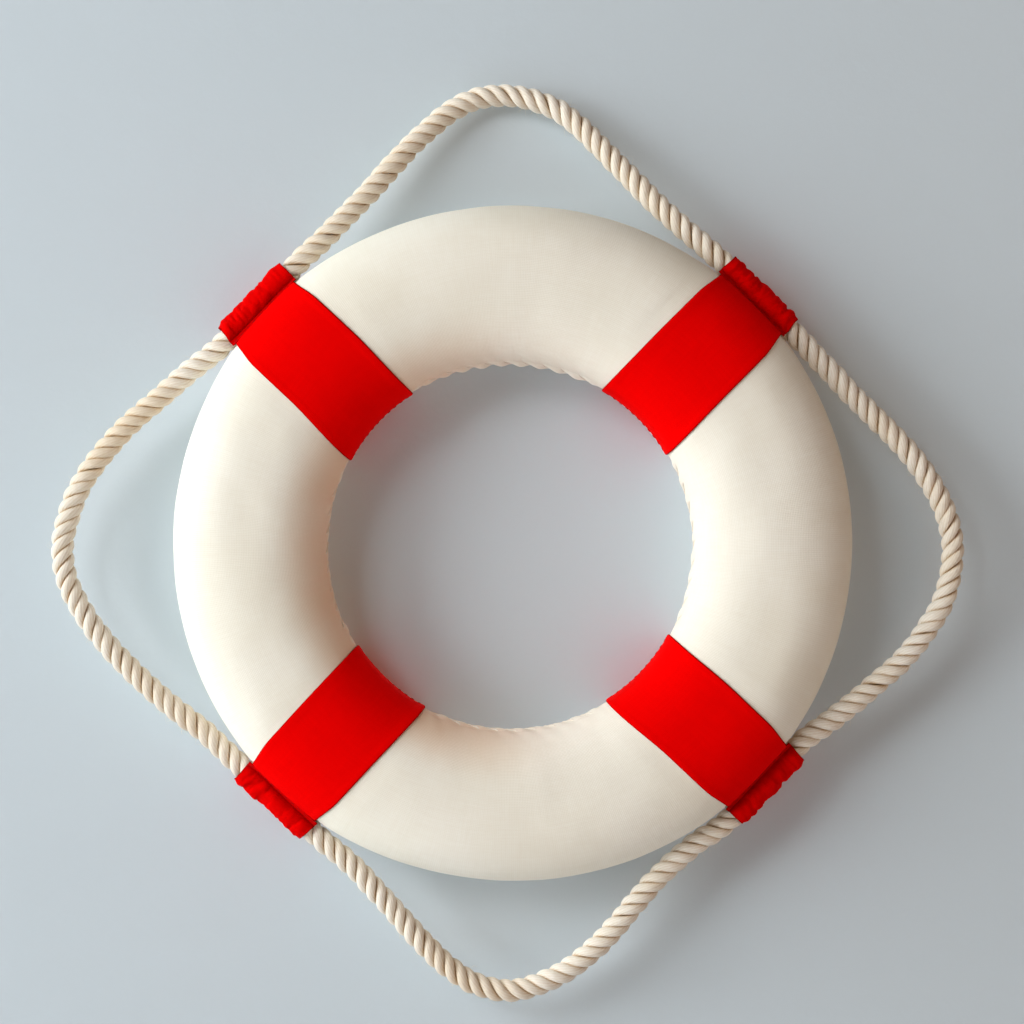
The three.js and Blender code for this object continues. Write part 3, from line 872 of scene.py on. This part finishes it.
def solver_obstacles():
    """The rope and the band's flat under a sleeve, for the cloth to press on."""
    reach, sides, rings = BAND_WIDTH * 0.8, 48, 12
    line = np.array([(along, ROPE_DISTANCE, 0.0) for along in evenly(-reach, reach, rings)])
    rope = tube_grid(line, SOLVER_ROPE_RADIUS, sides)
    row, column = grid_corners(rings, sides, closed_columns=True)
    corners = (row * sides + column % sides)[:, ::-1].tolist()
    deep, level = 0.03, SEWN_OUT - 0.0002
    flat = [(-reach, level, -deep), (-reach, level, deep), (reach, level, deep), (reach, level, -deep)]
    obstacles = [
        plain_object("solver_rope", rope * SIMULATION_SCALE, corners),
        plain_object("solver_band", np.array(flat) * SIMULATION_SCALE, [(0, 1, 2, 3)]),
    ]
    for piece in obstacles:
        piece.modifiers.new("collision", "COLLISION")
        piece.collision.thickness_outer = SOLVER_GAP
        piece.collision.cloth_friction = 5
    return obstacles


def gathered_cloths():
    """The four sleeves' cloth after the solver has let the spare length buckle into folds."""
    pieces = {}
    for count, name in enumerate(BANDS):
        sewn, cut = (sleeve_strip(gathering, 50 + 7 * count) for gathering in (1.0, GATHERING[name]))
        pieces[name] = cloth_object("solver_" + name, sewn, cut)
    obstacles = solver_obstacles()
    scene = bpy.context.scene
    for number in range(1, SIMULATION_FRAMES + 1):
        scene.frame_set(number)
    view = bpy.context.evaluated_depsgraph_get()
    cloths = {}
    for name, piece in pieces.items():
        mesh = piece.evaluated_get(view).to_mesh()
        points = np.empty(3 * len(mesh.vertices), np.float32)
        mesh.vertices.foreach_get("co", points)
        cloths[name] = points.reshape(SLEEVE_ROWS, SLEEVE_COLUMNS, 3).astype(float) / SIMULATION_SCALE
    for piece in [*pieces.values(), *obstacles]:
        bpy.data.objects.remove(piece)
    scene.frame_set(1)
    return cloths


def rope_sleeve(name, middle, cloth):
    """A gathered strip arched over the rope, with a flange each side on the band."""
    run = np.abs(STRIP_RUN)
    along, out, depth = cloth[..., 0], cloth[..., 1] - ROPE_DISTANCE, cloth[..., 2]
    radius = np.hypot(out, depth)
    from_edge = (HALF_BAND * (1 - np.abs(evenly(-1, 1, SLEEVE_ROWS))))[:, None]
    hemmed = 0.4 + 0.6 * smoothstep(0.0, 0.004, from_edge)
    limited = ARCH_RADIUS + hemmed * FOLD_LIMIT * np.tanh((radius - ARCH_RADIUS) / FOLD_LIMIT)
    share = smoothstep(NECK_RUN, 0.7 * NECK_RUN, run)
    scale = 1 + share * (limited / radius - 1)
    local = np.stack([along, out * scale, depth * scale], axis=-1)
    normal = unit(np.cross(np.gradient(local, axis=0), np.gradient(local, axis=1)))
    normal *= np.sign(np.sum(normal[:, SLEEVE_COLUMNS // 2, 1]))
    hem = smoothstep(HALF_STRIP - 0.0012, HALF_STRIP, run)[..., None]
    local = local - hem * np.array([0.0, SLEEVE_HEM, 0.0])
    half = SLEEVE_THICKNESS / 2 * (1 - 0.8 * hem)
    layers = []
    for layer in (local + half * normal, local - half * normal):
        layers.append(place(middle, layer[..., 0], ROPE_DISTANCE + layer[..., 1], layer[..., 2]))
    across = evenly(-1, 1, SLEEVE_ROWS) * HALF_BAND
    piece = thin_shell("gathered_sleeve_" + name, *layers, across * GATHERING[name] + 1, STRIP_RUN[0] + 1)
    # Painted shade: darker in the crease where the arch turns out to the flange, and along the hemmed edges.
    painted_crease_shade = smoothstep(1.5, 2.5, run / ARCH_RADIUS) * (1 - 0.7 * smoothstep(NECK_RUN, NECK_RUN + 0.003, run))
    tint(piece, np.maximum(smoothstep(0.0007, 0.0001, from_edge), 0.55 * painted_crease_shade))
    dress(piece, "red_sleeve", "rope_sleeve_" + name)
    [flange_stitches(name, middle, side) for side in ("front", "back")]


def flange_stitches(name, middle, side):
    """A line of running stitches through one flange."""
    depth = (FLANGE_REACH - 0.0018) * (-1 if side == "front" else 1)
    lines = []
    for along in evenly(-HALF_BAND + 0.0028, HALF_BAND - 0.0028, FLANGE_STITCHES):
        share = evenly(-1, 1, 7)
        out = SEWN_OUT + SLEEVE_THICKNESS / 2 + THREAD_RADIUS * (0.5 - 2.5 * share**4)
        lines.append(place(middle, along + 0.0014 * share, out, depth + 0.0002 * share))
    piece, node = f"flange_stitches_{side}_{name}", f"sleeve_stitching_{side}_{name}"
    return stitches(piece, lines, THREAD_RADIUS, "red_thread", node)


# ---- Rope ----


def strand_grids(path, seed, size=1.0):
    """The strands' rings of points along a rope's path, and how deep in the rope and its yarns each lies."""
    _, across, up = frames_along(path)
    length = lengths_along(path)
    size = np.broadcast_to(size, length.shape)[:, None]
    vertex = np.arange(YARNS * YARN_VERTICES)
    in_yarn = np.abs(np.cos(math.pi * vertex / YARN_VERTICES))
    grids, grooves, yarns = [], [], []

    def wander(number, cell, row=0.0):
        return noise(seed + number, length[:, None] / cell, row)

    for k in range(STRANDS):
        phase = math.tau * (length[:, None] / ROPE_LAY + k / STRANDS) + 0.10 * wander(k, 0.03)
        outward = np.cos(phase) * across + np.sin(phase) * up
        middle = path + STRAND_HELIX * size * outward * (1 + 0.03 * wander(10 + k, 0.016))
        direction = unit(np.gradient(middle, axis=0))
        side = unit(np.cross(direction, outward))
        out = np.cross(side, direction)
        turn = math.tau * vertex[None] / len(vertex) - YARN_TWIST * length[:, None]
        each_yarn = 1 + 0.035 * wander(30 + k, 0.02, vertex[None] // YARN_VERTICES * 1.7)
        fat = size * (1 + 0.05 * wander(20 + k, 0.021))
        radius = STRAND_RADIUS * fat * each_yarn * (1 - YARN_DEPTH * in_yarn[None] ** 3)
        deep, wide = np.cos(turn)[..., None], STRAND_SPREAD * np.sin(turn)[..., None]
        points = middle[:, None] + radius[..., None] * (deep * out[:, None] + wide * side[:, None])
        distance = np.linalg.norm(points - path[:, None], axis=-1) / size
        grids.append(points)
        # The material paints shade by these: deep in the lay, and in the grooves between the yarns.
        grooves.append(smoothstep(0.0054, 0.0038, distance))
        yarns.append(np.broadcast_to(in_yarn[None] ** 4, distance.shape))
    return grids, np.concatenate([g.ravel() for g in grooves]), np.concatenate([y.ravel() for y in yarns])


def rope_piece(name, path, seed, **form):
    grids, groove, yarn = strand_grids(path, seed, **form)
    piece = tubes_piece(name, grids)
    paint(piece, "groove", groove)
    paint(piece, "yarn", yarn)
    piece.data.materials.append(MATERIALS["rope"])
    return piece


def mouth(middle, end, tuck=0.0):
    """Where the rope bends out of a sleeve, or tuck metres further in; end is 1 or -1 along the band."""
    return place(middle, end * (MOUTH_REACH - tuck), ROPE_DISTANCE, 0.0)


def loop_path(name, quarter):
    first, last = quarter_angles(quarter)
    start, finish = mouth(first, 1), mouth(last, -1)
    points = [mouth(first, 1, ROPE_TUCK), start]
    for x, z in quarter["route"]:
        point = RING_CENTRE + np.array([x / 1000, 0.0, z / 1000])
        if name == "top":
            chord = start + (finish - start) * (point[0] - start[0]) / (finish[0] - start[0])
            point[1] += TOP_LEAN * (point[2] - chord[2])
        points.append(point)
    return smooth_curve([*points, finish, mouth(last, -1, ROPE_TUCK)], ROPE_STEP), start, finish


def loose_fibres(name, path, seed):
    """Short fibres that stand off the rope."""
    chance = np.random.default_rng(seed)
    tangent, across, up = frames_along(path)
    grids = []
    for _ in range(LOOSE_FIBRES):
        i = chance.integers(20, len(path) - 20)
        angle = chance.uniform(0, math.tau)
        outward = math.cos(angle) * across[i] + math.sin(angle) * up[i]
        sideways = np.cross(tangent[i], outward)
        lean = unit(chance.uniform(-1, 1) * tangent[i] + chance.uniform(-0.6, 0.6) * sideways)
        reach = chance.uniform(0.0008, 0.0030)
        length = reach * chance.uniform(1.0, 2.2)
        share = evenly(0, 1, 6)[:, None]
        rise = ROPE_RADIUS - 0.0010 + (reach + 0.0006) * np.sin(share * 2.2)
        line = path[i] + outward * rise + lean * length * share
        grids.append(tube_grid(line, 0.00005 * (1.15 - share[:, 0]), 3))
    piece = tubes_piece("loose_fibres_" + name, grids)
    piece.data.materials.append(MATERIALS["cream_thread"])
    return piece


def rope_loop(name, quarter, seed):
    """A free bight of the rope, which the ring holds at its sleeves' mouths."""
    path, start, finish = loop_path(name, quarter)
    rope = rope_piece("rope_loop_" + name, path, seed)
    fibres = loose_fibres(name, path, seed + 50)
    for piece in (rope, fibres):
        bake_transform(piece)
    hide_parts("rope_bight_" + name)


def rope_in_sleeve(name, node, middle, start, end, seed, held=SLEEVED_SIZE):
    """The rope's straight stretch inside a sleeve, between two places along the band; held is its size at
    the band's middle."""
    along = evenly(start, end, max(2, round(abs(end - start) / ROPE_STEP)))
    size = SLEEVED_SIZE + (held - SLEEVED_SIZE) * smoothstep(0.0125, 0.0100, np.abs(along))
    piece = rope_piece(name, place(middle, along, ROPE_DISTANCE, 0.0), seed, size=size)
    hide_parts(node)
    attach(piece, "ring")


def sleeved_ropes():
    """Whole in three sleeves; in the fourth the rope's two ends meet inside a whipping of twine."""
    *whole, joint = BANDS.items()
    reach = SLEEVED_REACH
    for count, (name, middle) in enumerate(whole):
        piece, node = "rope_through_" + name, "sleeved_rope_" + name
        rope_in_sleeve(piece, node, middle, -reach, reach, 500 + 40 * count)
    for count, (part, side) in enumerate((("upper", 1), ("lower", -1))):
        piece, node = f"rope_end_{part}_strands", "rope_end_" + part
        rope_in_sleeve(piece, node, joint[1], side * 0.0002, side * reach, 700 + 40 * count, WHIPPED_SIZE)
    turns = WHIPPING_HALF / TWINE_RADIUS
    share = evenly(-1, 1, round(turns * 28))
    angle = share * turns * math.pi
    out = ROPE_DISTANCE + WHIPPING_RADIUS * np.cos(angle)
    wound = place(joint[1], share * WHIPPING_HALF, out, WHIPPING_RADIUS * np.sin(angle))
    twine = tubes_piece("whipping_twine", [tube_grid(wound, TWINE_RADIUS, 6)])
    dress(twine, "cream_thread", "rope_end_whipping")


# ---- Stage, light and camera ----


def painted(name, roughness, colours, patches, grain):
    """The shader of a plain surface: slow patches between its two colours, and a fine grain."""
    shader = Shader(name, roughness)
    tone = shader.mix(shader.noise(*patches), *(rgb(colour) for colour in colours))
    shader.finish(tone, shader.noise(*grain), 0.0002, 0.3)
    return shader


def stage_piece(name, corners, shader):
    piece = plain_object(name, corners, [(0, 1, 2, 3)])
    piece.data.materials.append(shader.material)


def backdrop():
    """A plain wall that shows only from the front, and a pale floor well below."""
    shader = painted("wall", 0.95, ("C9D6DE", "CFDCE4"), (3.0, 2.0), (400.0, 2.0))
    geometry = shader.add("NewGeometry")
    clear = shader.add("BsdfTransparent")
    path = shader.add("LightPath")
    hidden = shader.math("MAXIMUM", geometry.outputs["Backfacing"], path.outputs["Is Shadow Ray"])
    mixed = shader.add("MixShader", {0: hidden, 1: shader.surface.outputs[0], 2: clear.outputs[0]})
    shader.links.new(mixed.outputs[0], shader.nodes["Material Output"].inputs["Surface"])
    reach, y, top = WALL_REACH, WALL_Y + WALL_GAP, 2.4
    wall = [(-reach, y, FLOOR_Z), (reach, y, FLOOR_Z), (reach, y, top), (-reach, y, top)]
    stage_piece("wall", wall, shader)
    shader = painted("floor", 0.9, ("D9DADB", "E2E3E4"), (2.0,), (300.0,))
    seen = shader.times(shader.add("LightPath").outputs["Is Camera Ray"], 0.3)
    shader.links.new(seen, shader.surface.inputs["Emission Strength"])
    reach = FLOOR_REACH
    floor = [(x * reach, y * reach, FLOOR_Z) for x, y in ((-1, -1), (1, -1), (1, 1), (-1, 1))]
    stage_piece("floor", floor, shader)


def lights():
    centre = (cad_box[0] + cad_box[1]) / 2
    for name, (shift, side, watts, colour) in LIGHTS.items():
        light = bpy.data.lights.new(name, "AREA")
        light.size, light.energy, light.color = side, watts, colour
        lamp = bpy.data.objects.new(name, light)
        lamp.location = centre + VEC(shift)
        lamp.rotation_euler = (centre - lamp.location).to_track_quat("-Z", "Y").to_euler()
        bpy.context.scene.collection.objects.link(lamp)
    studio()


def studio():
    """A pale room all round, which itself gives only a little warm light."""
    world = bpy.data.worlds.new("studio")
    world.use_nodes = True
    nodes, links = world.node_tree.nodes, world.node_tree.links
    glow, room = nodes["Background"], nodes.new("ShaderNodeBackground")
    glow.inputs["Color"].default_value = (1.0, 0.84, 0.70, 1.0)
    glow.inputs["Strength"].default_value = 0.03
    room.inputs["Color"].default_value = (0.62, 0.63, 0.64, 1.0)
    mixed, path = nodes.new("ShaderNodeMixShader"), nodes.new("ShaderNodeLightPath")
    links.new(path.outputs["Is Camera Ray"], mixed.inputs[0])
    links.new(glow.outputs[0], mixed.inputs[1])
    links.new(room.outputs[0], mixed.inputs[2])
    links.new(mixed.outputs[0], nodes["World Output"].inputs["Surface"])
    bpy.context.scene.world = world


def camera():
    """Straight on to the ring from the front, a little above its centre."""
    data = bpy.data.cameras.new("camera")
    data.sensor_width = 36.0
    data.lens = LENS
    eye = bpy.data.objects.new("camera", data)
    eye.location = RING_CENTRE + np.array([0.0, -CAMERA_DISTANCE, CAMERA_RISE])
    eye.rotation_euler = (math.pi / 2, 0.0, 0.0)
    bpy.context.scene.collection.objects.link(eye)
    bpy.context.scene.camera = eye


VEC = type(cad_box[0])
MATERIALS = {
    "foam": foam_material(),
    # The canvas's tint EAC29A is yellowing and painted warm shade along the inner rim.
    "canvas": woven_material(
        "canvas", CANVAS_WEAVE, ("FBF9EE", "F7F4E6", "E6DCC6", "EAC29A"), tinted=0.62, relief=0.4
    ),
    "red_cloth": red_material("red_cloth", "FA0000", "F40000", "D00000"),
    # The sleeves' red is a darker copy of the bands' red: painted shade for the gathered cloth.
    "red_sleeve": red_material("red_sleeve", "EA0000", "E20000", "BE0000"),
    "rope": rope_material(),
    "cream_thread": thread_material("cream_thread", "FBF8F0", "EFE7D6"),
    "red_thread": thread_material("red_thread", "C40408", "8A0004"),
}

bpy.context.scene.view_settings.view_transform = "Standard"
camera()
lights()
backdrop()
gathered = gathered_cloths()
for seed, (name, quarter) in enumerate(QUARTERS.items()):
    rope_loop(name, quarter, 100 * (seed + 1))
sleeved_ropes()
foam_core()
for seed, (name, quarter) in enumerate(QUARTERS.items()):
    cover_panel(name, quarter, 1000 + 10 * seed)
for seed, (name, middle) in enumerate(BANDS.items()):
    red_band(name, middle, 2000 + 10 * seed)
    rope_sleeve(name, middle, gathered[name])
